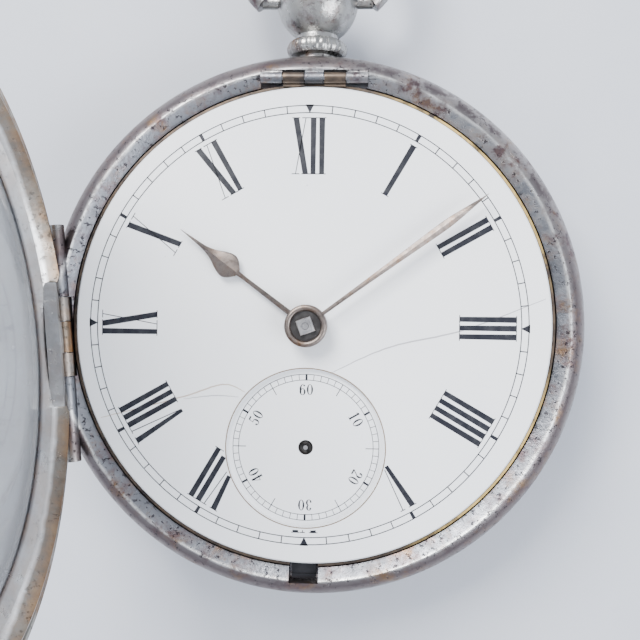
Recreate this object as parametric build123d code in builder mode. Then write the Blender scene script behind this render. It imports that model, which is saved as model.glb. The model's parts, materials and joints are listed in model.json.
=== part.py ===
from build123d import *
import os
from math import acos, atan2, cos, degrees, hypot, radians, sin

os.makedirs("parts", exist_ok=True)

# ---------------------------------------------------------------- driving dimensions, mm
# Z = 0 is the flat of the closed back cover, +Z comes out of the dial, +Y points at the pendant.
case_radius = 26.8
ridge_radius = 25.0
ridge_top = 11.5
wall_radius = 23.75
ledge_top = 9.15
bore_radius = 22.6
band_bottom = 4.6
milled_low = 6.5
milled_high = 8.7
milled_depth = 0.16
gap = 0.1

movement_shift = -0.4
plate_radius = 22.3
plate_low = 7.6
plate_high = 9.2
bridge_radius = 20.9
bridge_low = 3.0
bridge_high = 4.0
dial_radius = 23.3
dial_low = 10.6
dial_top = 11.2
seconds_radius = 7.78
seconds_offset = 12.0

hinge_turn = 5.0
hinge_x = -24.4
hinge_z = 11.5
hinge_barrel = 0.75
hinge_half_length = 11.7
pin_radius = 0.28
pin_bore = 0.3
cover_opening = 88.0
cover_radius = 25.66
bezel_radius = 24.8
glass_radius = 21.7

joint_y = 24.1
joint_z = 11.3
joint_barrel = 0.55
small_pin = 0.2
small_bore = 0.22

back_hinge_x = -25.3
back_hinge_z = 4.5
back_barrel = 0.55

stem_z = 7.3
ball_y = 32.8
ball_radius = 4.1
bow_wire = 1.1

barrel_teeth, centre_leaves, barrel_module = 84, 12, 0.22
centre_teeth, third_leaves, centre_module = 80, 10, 0.18
third_teeth, fourth_leaves, third_module = 75, 10, 0.15
fourth_teeth, escape_leaves, fourth_module = 64, 8, 0.13
cannon_leaves, minute_teeth, minute_leaves, hour_teeth, motion_module = 10, 30, 8, 32, 0.2

# ---------------------------------------------------------------- places in the movement's own axes


def polar(radius, angle):
    return (radius * cos(radians(angle)), radius * sin(radians(angle)))


barrel_at = (0, (barrel_teeth + centre_leaves) / 2 * barrel_module)
fourth_at = (0, -seconds_offset)
third_reach = (centre_teeth + third_leaves) / 2 * centre_module
fourth_reach = (third_teeth + fourth_leaves) / 2 * third_module
third_cosine = (third_reach**2 + seconds_offset**2 - fourth_reach**2) / (2 * third_reach * seconds_offset)
third_at = polar(third_reach, -90 + degrees(acos(third_cosine)))
escape_reach = (fourth_teeth + escape_leaves) / 2 * fourth_module
escape_step = polar(escape_reach, 225)
escape_at = (escape_step[0], escape_step[1] - seconds_offset)
lever_at = (-6.39, -12.17)
balance_at = (-11.0, -7.5)
minute_reach = (cannon_leaves + minute_teeth) / 2 * motion_module
minute_wheel_at = polar(minute_reach, 20)
balance_clearance = 7.9
cock_foot_at = (-16.2, 0.2)
pillar_places = [polar(18.9, angle) for angle in (5, 58, 150, 246, 300)]
pallet_foot_at = (-10.2, -15.4)
click_at = (-5.2, 10.6)

# ---------------------------------------------------------------- planes


def level(height):
    """The movement's own level plane, set a little to the hinge's side of the case's centre."""
    return Plane(origin=(movement_shift, 0, height), x_dir=(1, 0, 0), z_dir=(0, 0, 1))


def turned_level(height, turn):
    """The case's level plane, turned about its centre."""
    return Plane(origin=(0, 0, height), x_dir=(*polar(1, turn), 0), z_dir=(0, 0, 1))


def hinge_level(height):
    """A level plane with the middle of the cover hinge on its -X axis."""
    return turned_level(height, hinge_turn)


def joint_level(height):
    """The case's own axes as they lie on a cover built with its hinge on -X."""
    return turned_level(height, -hinge_turn)


turned = Location((0, 0, 0), (0, 0, hinge_turn))
hinge_point = Location((hinge_x, 0, hinge_z))
opened = turned * hinge_point * Location((0, 0, 0), (0, -cover_opening, 0)) * hinge_point.inverse()


# ---------------------------------------------------------------- shared shapes


def save(builder, name):
    builder.part.label = name
    export_step(builder.part, f"parts/{name}.step")


def disc(centre, radius, low, high, mode=Mode.ADD, plane=level):
    """A round step of an arbor, or a round hole, between two heights."""
    with BuildSketch(plane(low)) as outline:
        with Locations(centre):
            Circle(radius)
    extrude(outline.sketch, amount=high - low, mode=mode)


def arbor(centre, steps):
    for low, high, radius in steps:
        disc(centre, radius, low, high)


def toothed_outline(teeth, module, tooth_share, phase):
    """Corner points of a wheel whose teeth have radial flanks and a narrowed tip."""
    pitch_radius = teeth * module / 2
    root = pitch_radius - 1.15 * module
    tip = pitch_radius + 0.95 * module
    tooth = 360 / teeth * tooth_share
    points = []
    for index in range(teeth):
        middle = phase + 360 * index / teeth
        points.append(polar(root, middle - tooth / 2))
        points.append(polar(pitch_radius, middle - tooth / 2))
        points.append(polar(tip, middle - tooth / 5))
        points.append(polar(tip, middle + tooth / 5))
        points.append(polar(pitch_radius, middle + tooth / 2))
        points.append(polar(root, middle + tooth / 2))
    return points


def toothed(centre, teeth, module, low, high, phase, tooth_share=0.4):
    with BuildSketch(level(low)) as outline:
        with Locations(centre):
            Polygon(*toothed_outline(teeth, module, tooth_share, phase), align=None)
    extrude(outline.sketch, amount=high - low)


def spiral_outline(start_radius, end_radius, turns, thickness):
    """Both edges of a flat spiral strip."""
    outer, inner = [], []
    steps = turns * 24
    for index in range(steps + 1):
        radius = start_radius + (end_radius - start_radius) * index / steps
        angle = 360 * turns * index / steps
        outer.append(polar(radius + thickness / 2, angle))
        inner.append(polar(radius - thickness / 2, angle))
    return outer + inner[::-1]


def crossings(centre, spokes, hub, rim, width, low, high):
    """Openings between the spokes of a wheel."""
    with BuildSketch(level(low)) as windows:
        with Locations(centre):
            Circle(rim)
            Circle(hub, mode=Mode.SUBTRACT)
        with Locations(centre):
            for index in range(spokes):
                Rectangle(2 * rim, width, rotation=360 * index / spokes, mode=Mode.SUBTRACT)
    extrude(windows.sketch, amount=high - low, mode=Mode.SUBTRACT)


def bar_y(x, z, radius, low, high, mode=Mode.ADD):
    """A round bar along Y."""
    with BuildSketch(Plane(origin=(x, low, z), x_dir=(0, 0, 1), z_dir=(0, 1, 0))) as outline:
        Circle(radius)
    extrude(outline.sketch, amount=high - low, mode=mode)


def hinge_plane(x, z, low):
    """A plane across the line of a cover hinge on the case."""
    line = (*polar(1, hinge_turn + 90), 0)
    foot = polar(x, hinge_turn)
    return Plane(origin=(foot[0] + low * line[0], foot[1] + low * line[1], z), x_dir=(0, 0, 1), z_dir=line)


def hinge_bar(x, z, radius, low, high, mode=Mode.ADD):
    """A round bar along the line of a cover hinge."""
    with BuildSketch(hinge_plane(x, z, low)) as outline:
        Circle(radius)
    extrude(outline.sketch, amount=high - low, mode=mode)


def hinge_knuckle(x, z, radius, bore, low, high):
    """A hollow hinge knuckle on the case."""
    with BuildSketch(hinge_plane(x, z, low)) as outline:
        Circle(radius)
        Circle(bore, mode=Mode.SUBTRACT)
    extrude(outline.sketch, amount=high - low)


def bar_x(y, z, radius, low, high, mode=Mode.ADD, plane=Plane.YZ):
    """A round bar along the X direction of its plane's normal."""
    with BuildSketch(plane.offset(low)) as outline:
        with Locations((y, z)):
            Circle(radius)
    extrude(outline.sketch, amount=high - low, mode=mode)


def block(x_span, y_span, z_span, mode=Mode.ADD, plane=Plane.XY.offset):
    """A rectangular block between pairs of limits."""
    with BuildSketch(plane(z_span[0])) as outline:
        with Locations(((x_span[0] + x_span[1]) / 2, (y_span[0] + y_span[1]) / 2)):
            Rectangle(x_span[1] - x_span[0], y_span[1] - y_span[0])
    extrude(outline.sketch, amount=z_span[1] - z_span[0], mode=mode)


# ---------------------------------------------------------------- case
case_knuckles = ((4.65, hinge_half_length), (0.05 - hinge_half_length, -3.3))
back_knuckles = ((3.1, 7.2), (-7.2, -3.1))
joint_case_knuckles = ((-5.2, -3.15), (-0.9, 0.9), (3.15, 5.2))
joint_plate_knuckles = ((-3.05, -1.0), (1.0, 3.05))

with BuildPart() as case_band:
    with BuildSketch(Plane.XZ):
        with BuildLine():
            Polyline(
                (case_radius, 9.0), (case_radius, milled_high), (case_radius - milled_depth, milled_high),
                (case_radius - milled_depth, milled_low), (case_radius, milled_low), (case_radius, 6.2),
            )
            ThreePointArc((case_radius, 6.2), (26.2, 5.15), (25.0, band_bottom))
            Polyline(
                (25.0, band_bottom), (bore_radius, band_bottom), (bore_radius, ledge_top),
                (wall_radius, ledge_top), (wall_radius, 10.9), (ridge_radius, ridge_top),
            )
            ThreePointArc((ridge_radius, ridge_top), (26.35, 10.45), (case_radius, 9.0))
        make_face()
    revolve(axis=Axis.Z)
    with BuildSketch(Plane.XZ):
        with Locations((23.25, 6.9)):
            Rectangle(1.3, 3.0)
    revolve(axis=Axis.Z, mode=Mode.SUBTRACT)
    hinge_bar(hinge_x, hinge_z, 0.98, -3.26, 4.61, mode=Mode.SUBTRACT)
    hinge_bar(back_hinge_x, back_hinge_z, 0.75, -3.1, 3.1, mode=Mode.SUBTRACT)
    block(
        (-24.6, -22.0), (-3.1, 3.1), (band_bottom - gap, band_bottom + 0.25),
        mode=Mode.SUBTRACT, plane=hinge_level)
    block((-5.25, 5.25), (23.2, 24.85), (10.4, 12.0), mode=Mode.SUBTRACT)
    block((-1.45, 1.45), (-25.2, -22.4), (9.55, 12.0), mode=Mode.SUBTRACT, plane=level)
    bar_y(0, stem_z, 1.6, 22.0, 28.0, mode=Mode.SUBTRACT)
    for low, high in case_knuckles:
        hinge_bar(hinge_x, hinge_z, hinge_barrel, low, high, mode=Mode.SUBTRACT)
        hinge_knuckle(hinge_x, hinge_z, hinge_barrel, pin_bore, low, high)
    for low, high in back_knuckles:
        hinge_bar(back_hinge_x, back_hinge_z, back_barrel, low, high, mode=Mode.SUBTRACT)
        hinge_knuckle(back_hinge_x, back_hinge_z, back_barrel, small_bore, low, high)
    for low, high in joint_case_knuckles:
        bar_x(joint_y, joint_z, joint_barrel, low, high)
        block((low, high), (joint_y, 24.9), (10.35, joint_z))
    bar_x(joint_y, joint_z, small_bore, -6.0, 6.0, mode=Mode.SUBTRACT)
save(case_band, "case_band")

with BuildPart() as cover_hinge_pin:
    hinge_bar(hinge_x, hinge_z, pin_radius, -hinge_half_length + gap, hinge_half_length - gap)
save(cover_hinge_pin, "cover_hinge_pin")

with BuildPart() as back_hinge_pin:
    hinge_bar(back_hinge_x, back_hinge_z, small_pin, -7.1, 7.1)
save(back_hinge_pin, "back_hinge_pin")

with BuildPart() as movement_joint_pin:
    bar_x(joint_y, joint_z, small_pin, -5.1, 5.1)
save(movement_joint_pin, "movement_joint_pin")

# Pendant: neck, collar and hollow ball in one turning, with the button's bore through it.
with BuildPart() as pendant:
    with BuildSketch(Plane(origin=(0, 0, stem_z), x_dir=(1, 0, 0), z_dir=(0, 0, 1))):
        with BuildLine():
            Polyline((1.0, 25.2), (1.58, 25.2), (1.58, 26.85), (2.0, 26.85), (2.0, 27.1), (2.7, 27.25))
            ThreePointArc((2.7, 27.25), (2.95, 27.95), (2.7, 28.65))
            Polyline((2.7, 28.65), (2.1, 28.85), (2.1, 29.28))
            ThreePointArc((2.1, 29.28), (ball_radius, ball_y), (2.1, 36.32))
            Polyline((2.1, 36.32), (1.7, 36.32), (1.7, 34.2), (1.0, 34.2), (1.0, 25.2))
        make_face()
    revolve(axis=Axis((0, 0, stem_z), (0, 1, 0)))
    bar_x(ball_y, stem_z, 0.72, -4.4, 4.4, mode=Mode.SUBTRACT)
    bar_y(0, stem_z, 1.0, 26.0, 35.2, mode=Mode.SUBTRACT)
save(pendant, "pendant")

with BuildPart() as button_rod:
    bar_y(0, stem_z, 0.9, 24.6, 35.1)
    bar_y(0, stem_z, 1.6, 35.1, 37.4)
    fillet(button_rod.faces().sort_by(Axis.Y)[-1].edges(), 0.5)
    block((-0.95, 0.95), (ball_y - 1.7, ball_y + 0.9), (stem_z - 0.95, stem_z + 0.95), mode=Mode.SUBTRACT)
    bar_y(0, stem_z, 0.45, ball_y - 1.75, ball_y + 0.95)
save(button_rod, "push_button")

# Bow: a round wire loop with two inward pivots that sit in the ball.
bow_pivot_x = 5.4
bow_centre_y = 38.6
bow_radius = hypot(bow_pivot_x, bow_centre_y - ball_y)
bow_start = degrees(atan2(ball_y - bow_centre_y, bow_pivot_x))
with BuildPart() as bow:
    with BuildSketch(Plane(origin=(bow_pivot_x, ball_y, stem_z), x_dir=(0, 0, 1), z_dir=(
            bow_centre_y - ball_y, bow_pivot_x, 0))):
        Circle(bow_wire)
    revolve(axis=Axis((0, bow_centre_y, stem_z), (0, 0, 1)), revolution_arc=180 - 2 * bow_start)
    for low, high in ((2.6, 5.6), (-5.6, -2.6)):
        bar_x(ball_y, stem_z, 0.62, low, high)
save(bow, "bow")

# Lift and lock springs: flat strips in the groove inside the band.
with BuildPart() as lift_spring:
    with BuildSketch(Plane.XY.offset(5.7)) as strip:
        SlotArc(CenterArc((0, 0), 23.35, 120, 100), 0.45)
    extrude(amount=2.4)
save(lift_spring, "lift_spring")

with BuildPart() as lock_spring:
    with BuildSketch(Plane.XY.offset(5.7)) as strip:
        SlotArc(CenterArc((0, 0), 23.35, -30, 104), 0.45)
    extrude(amount=2.4)
save(lock_spring, "lock_spring")

# Inner dome: the fixed cover over the movement's back, with its winding key hole.
with BuildPart() as inner_dome:
    with BuildSketch(Plane.XZ):
        with BuildLine():
            Line((0, 0.65), (13.0, 0.65))
            TangentArc((13.0, 0.65), (24.1, 4.4), tangent=(1, 0))
            Polyline((24.1, 4.4), (24.1, band_bottom), (23.5, band_bottom), (23.5, 4.26))
            TangentArc((13.0, 0.95), (23.5, 4.26), tangent=(1, 0))
            Polyline((13.0, 0.95), (0, 0.95), (0, 0.65))
        make_face()
    revolve(axis=Axis.Z)
    disc(barrel_at, 1.9, 0.5, 1.2, mode=Mode.SUBTRACT)
    block((-26, -23.4), (-4, 4), (2, 6), mode=Mode.SUBTRACT, plane=hinge_level)
save(inner_dome, "inner_dome")

# Back cover: a shallow shell hinged to the band.
with BuildPart() as unturned_back_cover:
    with BuildSketch(Plane.XZ):
        with BuildLine():
            Line((0, 0), (13.0, 0))
            TangentArc((13.0, 0), (25.0, 3.9), tangent=(1, 0))
            Polyline((25.0, 3.9), (25.0, 4.45), (24.35, 4.45))
            TangentArc((13.0, 0.5), (24.35, 4.45), tangent=(1, 0))
            Polyline((13.0, 0.5), (0, 0.5), (0, 0))
        make_face()
    revolve(axis=Axis.Z)
    block((-26, -24.5), (-9, 9), (-1, 6), mode=Mode.SUBTRACT)
    bar_y(back_hinge_x, back_hinge_z, back_barrel, -3.0, 3.0)
    block((back_hinge_x, -24.2), (-3.0, 3.0), (4.0, 4.45))
    bar_y(back_hinge_x, back_hinge_z, small_bore, -4, 4, mode=Mode.SUBTRACT)
with BuildPart() as back_cover:
    add(unturned_back_cover.part.moved(turned))
save(back_cover, "back_cover")

# ---------------------------------------------------------------- front cover and bezel, standing open
cover_chord = -23.45
cavity_chord = -23.05
bezel_chord = -22.9
cover_knuckles = ((2.25, 4.55), (-3.2, -0.95))
bezel_knuckle = (-0.85, 2.15)

with BuildPart() as cover_cavity:
    with BuildSketch(Plane.XZ):
        with BuildLine():
            Polyline((0, 11.0), (24.95, 11.0), (24.95, 12.5), (24.2, 13.4))
            ThreePointArc((24.2, 13.4), (13.0, 16.0), (0, 16.9))
            Line((0, 16.9), (0, 11.0))
        make_face()
    revolve(axis=Axis.Z)
    block((-27, cavity_chord), (-27, 27), (10, 20), mode=Mode.SUBTRACT)

with BuildPart() as closed_front_cover:
    with BuildSketch(Plane.XZ):
        with BuildLine():
            Polyline((0, 11.62), (cover_radius, 11.62), (cover_radius, 12.4), (25.2, 13.1))
            ThreePointArc((25.2, 13.1), (14.0, 16.55), (0, 17.5))
            Line((0, 17.5), (0, 11.62))
        make_face()
    revolve(axis=Axis.Z)
    block((-27, cover_chord), (-27, 27), (10, 20), mode=Mode.SUBTRACT)
    add(cover_cavity.part, mode=Mode.SUBTRACT)
    for low, high in cover_knuckles:
        bar_y(hinge_x, hinge_z, hinge_barrel, low, high)
        block((hinge_x, -23.2), (low, high), (11.66, 12.2))
    bar_y(hinge_x, hinge_z, pin_bore, -13, 13, mode=Mode.SUBTRACT)
with BuildPart() as front_cover:
    add(closed_front_cover.part.moved(opened))
save(front_cover, "front_cover")

with BuildPart() as closed_bezel_ring:
    with BuildSketch(Plane.XZ):
        with BuildLine():
            Polyline(
                (23.85, 11.08), (24.2, 11.2), (bezel_radius, 11.6), (bezel_radius, 12.2), (24.0, 13.1),
                (22.3, 13.75), (21.4, 13.95), (21.4, 13.6), (glass_radius + 0.02, 13.55),
                (glass_radius + 0.02, 13.25), (21.5, 13.2), (21.5, 13.05), (23.0, 12.5), (23.5, 11.6),
                close=True,
            )
        make_face()
    revolve(axis=Axis.Z)
    block((-27, bezel_chord), (-27, 27), (10, 20), mode=Mode.SUBTRACT)
    bar_y(hinge_x, hinge_z, hinge_barrel, *bezel_knuckle)
    block((hinge_x, -22.7), bezel_knuckle, (11.28, 11.62))
    block((-22.9, -22.3), (-6, 6), (11.32, 12.6))
    block((-5.5, 5.5), (22.6, 25.2), (11.0, 12.0), mode=Mode.SUBTRACT, plane=joint_level)
    bar_y(hinge_x, hinge_z, pin_bore, -13, 13, mode=Mode.SUBTRACT)
with BuildPart() as bezel_ring:
    add(closed_bezel_ring.part.moved(opened))
save(bezel_ring, "bezel_ring")

with BuildPart() as closed_crystal:
    with BuildSketch(Plane.XZ):
        with BuildLine():
            Line((0, 14.55), (0, 15.2))
            TangentArc((0, 15.2), (21.35, 13.58), tangent=(1, 0))
            Polyline((21.35, 13.58), (glass_radius, 13.53), (glass_radius, 13.27), (21.3, 13.22))
            TangentArc((0, 14.55), (21.3, 13.22), tangent=(1, 0))
        make_face()
    revolve(axis=Axis.Z)
with BuildPart() as crystal:
    add(closed_crystal.part.moved(opened))
save(crystal, "crystal")

# ---------------------------------------------------------------- movement frame
with BuildPart() as pillar_plate:
    disc((0, 0), plate_radius, plate_low, plate_high, plane=Plane.XY.offset)
    disc((0, 0), 0.75, plate_low - gap, plate_high + gap, mode=Mode.SUBTRACT)
    for place in (third_at, fourth_at, escape_at, lever_at, balance_at):
        disc(place, 0.35, plate_low - gap, plate_high + gap, mode=Mode.SUBTRACT)
    disc(barrel_at, 1.1, plate_low - gap, plate_high + gap, mode=Mode.SUBTRACT)
save(pillar_plate, "pillar_plate")

# Brass edge: the ring that carries the dial, rests on the ledge and swings on the joint at 12.
with BuildPart() as brass_edge:
    with BuildSketch(Plane.XZ):
        with BuildLine():
            Polyline(
                (21.2, plate_high), (23.6, plate_high), (23.6, 10.95), (23.38, 10.95), (23.38, 10.58),
                (21.2, 10.58), close=True,
            )
        make_face()
    revolve(axis=Axis.Z)
    block((-1.4, 1.4), (-24, -20), (9.5, 11.5), mode=Mode.SUBTRACT, plane=level)
    for low, high in joint_plate_knuckles:
        block((low, high), (23.3, joint_y), (10.62, 11.2))
        bar_x(joint_y, joint_z, joint_barrel, low, high)
    disc((0, 0), dial_radius + 0.06, 10.58, 12.5, mode=Mode.SUBTRACT, plane=Plane.XY.offset)
    bar_x(joint_y, joint_z, small_bore, -4, 4, mode=Mode.SUBTRACT)
save(brass_edge, "brass_edge")

with BuildPart() as pillars:
    for place in pillar_places:
        disc(place, 1.0, bridge_high, plate_low)
        disc(place, 1.25, bridge_high, bridge_high + 0.5)
        disc(place, 1.25, plate_low - 0.5, plate_low)
save(pillars, "pillars")

with BuildPart() as three_quarter_plate:
    disc((0, 0), bridge_radius, bridge_low, bridge_high, plane=Plane.XY.offset)
    disc(balance_at, balance_clearance, bridge_low - gap, bridge_high + gap, mode=Mode.SUBTRACT)
    disc((0, 0), 0.55, bridge_low - gap, bridge_high + gap, mode=Mode.SUBTRACT)
    disc(barrel_at, 1.05, bridge_low - gap, bridge_high + gap, mode=Mode.SUBTRACT)
    for place in (third_at, fourth_at, escape_at):
        disc(place, 0.7, bridge_low - gap, bridge_high + gap, mode=Mode.SUBTRACT)
save(three_quarter_plate, "three_quarter_plate")

with BuildPart() as plate_jewels:
    for place in (third_at, fourth_at, escape_at):
        disc(place, 0.7, bridge_low, bridge_high - 0.5)
        disc(place, 0.16, bridge_low - gap, bridge_high, mode=Mode.SUBTRACT)
save(plate_jewels, "plate_jewels")

with BuildPart() as plate_screws:
    for place in pillar_places:
        disc(place, 0.95, bridge_low - 0.45, bridge_low)
        with BuildSketch(level(bridge_low - 0.5)) as slots:
            with Locations(place):
                Rectangle(2.2, 0.22)
        extrude(slots.sketch, amount=0.2, mode=Mode.SUBTRACT)
save(plate_screws, "plate_screws")

with BuildPart() as balance_cock:
    with BuildSketch(level(1.8)):
        with Locations(balance_at):
            Circle(2.6)
        with Locations(cock_foot_at):
            Circle(1.7)
        with BuildLine():
            Polyline((-12.9, -9.2), (-17.6, -0.7), (-14.8, 1.1), (-9.1, -5.8), close=True)
        make_face()
    extrude(amount=0.7)
    disc(cock_foot_at, 1.4, 2.5, bridge_low)
    disc(balance_at, 0.7, 1.7, 2.6, mode=Mode.SUBTRACT)
    disc(cock_foot_at, 0.5, 1.7, 3.1, mode=Mode.SUBTRACT)
save(balance_cock, "balance_cock")

with BuildPart() as cock_screw:
    disc(cock_foot_at, 0.5, 1.8, bridge_low)
    disc(cock_foot_at, 0.8, 1.52, 1.8)
    with BuildSketch(level(1.45)) as slots:
        with Locations(cock_foot_at):
            Rectangle(2.0, 0.2)
    extrude(slots.sketch, amount=0.18, mode=Mode.SUBTRACT)
save(cock_screw, "cock_screw")

with BuildPart() as cock_jewel:
    disc(balance_at, 0.7, 1.8, 2.3)
    disc(balance_at, 0.13, 2.0, 2.4, mode=Mode.SUBTRACT)
save(cock_jewel, "cock_jewel")

with BuildPart() as regulator:
    with BuildSketch(level(1.5)):
        with Locations(balance_at):
            Circle(1.5)
        with Locations((balance_at[0] + 2.0, balance_at[1] - 0.4)):
            Rectangle(3.6, 0.45, rotation=-12)
        with Locations(balance_at):
            Circle(0.75, mode=Mode.SUBTRACT)
    extrude(amount=0.3)
save(regulator, "regulator")

with BuildPart() as pallet_cock:
    with BuildSketch(level(4.05)):
        with Locations(lever_at, pallet_foot_at):
            Circle(1.2)
        with BuildLine():
            Polyline((-5.9, -13.3), (-9.7, -16.5), (-10.9, -14.4), (-6.9, -11.1), close=True)
        make_face()
    extrude(amount=0.45)
    disc(pallet_foot_at, 1.1, 4.4, plate_low)
    disc(lever_at, 0.16, 3.9, 4.6, mode=Mode.SUBTRACT)
save(pallet_cock, "pallet_cock")

with BuildPart() as movement_bolt:
    block((-1.2, 1.2), (-24.95, -21.5), (9.65, 10.5), plane=level)
    block((-0.5, 0.5), (-21.6, -20.9), (9.8, 10.1), plane=level)
    block((-1.3, 1.3), (-24.5, -24.3), (10.4, 10.6), plane=level, mode=Mode.SUBTRACT)
save(movement_bolt, "movement_bolt")

# ---------------------------------------------------------------- dial and hands
feet_places = [polar(19.0, angle) for angle in (40, 160, 320)]
with BuildPart() as dial:
    disc((0, 0), dial_radius, dial_low, dial_top, plane=Plane.XY.offset)
    chamfer(dial.faces().sort_by(Axis.Z)[-1].edges(), 0.15)
    disc((0, 0), 1.5, dial_low - gap, dial_top + gap, mode=Mode.SUBTRACT)
    disc(fourth_at, seconds_radius, dial_low - gap, dial_top + gap, mode=Mode.SUBTRACT)
save(dial, "dial")

with BuildPart() as seconds_dial:
    disc(fourth_at, seconds_radius + 0.17, dial_low - 0.45, dial_low)
    disc(fourth_at, 0.73, dial_low - 1, dial_low + gap, mode=Mode.SUBTRACT)
save(seconds_dial, "seconds_dial")

with BuildPart() as dial_feet:
    for place in feet_places:
        disc(place, 0.6, plate_high, dial_low)
save(dial_feet, "dial_feet")

hour_hand_angle = 143.4
minute_hand_angle = 36.6


def along(angle, points):
    """Turn outline points given as (distance from the centre, half width) into a hand's outline."""
    upper = [(reach, half) for reach, half in points]
    lower = [(reach, -half) for reach, half in reversed(points) if half > 0]
    turned = []
    for reach, half in upper + lower:
        a = radians(angle)
        turned.append((reach * cos(a) - half * sin(a), reach * sin(a) + half * cos(a)))
    return turned


with BuildPart() as hour_hand:
    disc((0, 0), 2.05, 11.75, 12.35)
    with BuildSketch(level(11.95)) as outline:
        Polygon(
            *along(hour_hand_angle, [
                (1.7, 0.24), (8.2, 0.22), (8.55, 0.55), (8.95, 0.95), (9.45, 1.2), (9.95, 1.16),
                (10.6, 0.9), (11.5, 0.5), (12.6, 0.22), (14.0, 0.13), (15.5, 0)]),
            align=None)
    extrude(outline.sketch, amount=0.3)
    disc((0, 0), 1.18, 11.6, 12.5, mode=Mode.SUBTRACT)
save(hour_hand, "hour_hand")

with BuildPart() as minute_hand:
    disc((0, 0), 2.05, 12.6, 13.1)
    disc((0, 0), 2.05, 13.1, 13.5)
    with BuildSketch(level(12.62)) as outline:
        Polygon(
            *along(minute_hand_angle, [
                (1.7, 0.18), (9.0, 0.27), (14.5, 0.38), (16.6, 0.42), (18.0, 0.34), (20.0, 0.17), (21.5, 0)]),
            align=None)
    extrude(outline.sketch, amount=0.26)
    disc((0, 0), 1.45, 13.1, 13.6, mode=Mode.SUBTRACT)
    disc((0, 0), 0.72, 12.5, 13.6, mode=Mode.SUBTRACT)
save(minute_hand, "minute_hand")

# ---------------------------------------------------------------- motion work under the dial
with BuildPart() as cannon_pinion:
    toothed((0, 0), cannon_leaves, motion_module, 9.35, 10.0, 200 + 360 / cannon_leaves / 2, 0.42)
    disc((0, 0), 0.7, 10.0, 13.0)
    with BuildSketch(level(13.0)) as square:
        Rectangle(0.95, 0.95, rotation=20)
    extrude(square.sketch, amount=0.7)
    disc((0, 0), 0.34, 9.2, 13.8, mode=Mode.SUBTRACT)
save(cannon_pinion, "cannon_pinion")

with BuildPart() as hour_wheel:
    toothed((0, 0), hour_teeth, motion_module, 10.1, 10.35, 200)
    disc((0, 0), 1.15, 10.35, 12.3)
    disc((0, 0), 0.76, 10.0, 12.5, mode=Mode.SUBTRACT)
save(hour_wheel, "hour_wheel")

with BuildPart() as minute_wheel:
    toothed(minute_wheel_at, minute_teeth, motion_module, 9.35, 9.65, 200)
    toothed(minute_wheel_at, minute_leaves, motion_module, 9.65, 10.4, 200 + 360 / minute_leaves / 2, 0.42)
    disc(minute_wheel_at, 0.28, 9.2, 10.6, mode=Mode.SUBTRACT)
save(minute_wheel, "minute_wheel")

with BuildPart() as minute_wheel_post:
    disc(minute_wheel_at, 0.24, plate_high, 10.5)
save(minute_wheel_post, "minute_wheel_post")

# ---------------------------------------------------------------- going train
with BuildPart() as centre_arbor:
    arbor((0, 0), ((2.9, 4.1, 0.5), (4.1, 6.2, 0.8), (7.45, 9.0, 0.68), (9.0, 13.75, 0.3)))
    toothed((0, 0), centre_leaves, barrel_module, 6.2, 7.45, 90 + 360 / centre_leaves / 2, 0.38)
    disc((0, 0), 0.8, 4.1, 6.2)
save(centre_arbor, "centre_pinion")

with BuildPart() as centre_wheel:
    toothed((0, 0), centre_teeth, centre_module, 4.25, 4.65, degrees(acos(third_cosine)) - 90)
    crossings((0, 0), 2, 1.6, 6.1, 1.0, 4.2, 4.7)
    disc((0, 0), 0.8, 4.2, 4.7, mode=Mode.SUBTRACT)
save(centre_wheel, "centre_wheel")

third_angle = degrees(acos(third_cosine)) - 90
third_to_fourth = degrees(acos((third_at[0]) / fourth_reach))
with BuildPart() as third_pinion:
    arbor(third_at, ((2.95, 4.1, 0.13), (4.9, 7.6, 0.4), (7.6, 8.9, 0.3)))
    toothed(third_at, third_leaves, centre_module, 4.1, 4.9, third_angle + 180 + 360 / third_leaves / 2, 0.38)
save(third_pinion, "third_pinion")

with BuildPart() as third_wheel:
    toothed(third_at, third_teeth, third_module, 6.6, 6.95, 180 + third_to_fourth)
    crossings(third_at, 2, 1.3, 4.7, 0.8, 6.5, 7.0)
    disc(third_at, 0.4, 6.5, 7.0, mode=Mode.SUBTRACT)
save(third_wheel, "third_wheel")

with BuildPart() as fourth_pinion:
    arbor(fourth_at, ((2.95, 4.1, 0.13), (4.1, 6.3, 0.3), (7.2, 9.1, 0.28), (9.1, 10.75, 0.22)))
    toothed(fourth_at, fourth_leaves, third_module, 6.3, 7.2, third_to_fourth + 360 / fourth_leaves / 2, 0.38)
save(fourth_pinion, "fourth_pinion")

with BuildPart() as fourth_wheel:
    toothed(fourth_at, fourth_teeth, fourth_module, 5.55, 5.85, 225)
    crossings(fourth_at, 2, 1.0, 3.4, 0.7, 5.4, 6.0)
    disc(fourth_at, 0.3, 5.4, 6.0, mode=Mode.SUBTRACT)
save(fourth_wheel, "fourth_wheel")

with BuildPart() as escape_pinion:
    arbor(escape_at, ((2.95, 4.1, 0.13), (4.1, 5.3, 0.25), (6.1, 7.7, 0.25), (7.7, 8.6, 0.2)))
    toothed(escape_at, escape_leaves, fourth_module, 5.3, 6.1, 45 + 360 / escape_leaves / 2, 0.38)
save(escape_pinion, "escape_pinion")

escape_teeth = 15
with BuildPart() as escape_wheel:
    with BuildSketch(level(4.9)) as outline:
        with Locations(escape_at):
            points = []
            for index in range(escape_teeth):
                middle = 11 + 360 * index / escape_teeth
                points.append(polar(2.5, middle - 5))
                points.append(polar(3.45, middle - 0.8))
                points.append(polar(3.45, middle + 0.8))
                points.append(polar(2.5, middle + 2))
            Polygon(*points, align=None)
    extrude(outline.sketch, amount=0.25)
    crossings(escape_at, 2, 0.8, 2.1, 0.5, 4.8, 5.2)
    disc(escape_at, 0.25, 4.8, 5.3, mode=Mode.SUBTRACT)
save(escape_wheel, "escape_wheel")

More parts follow.
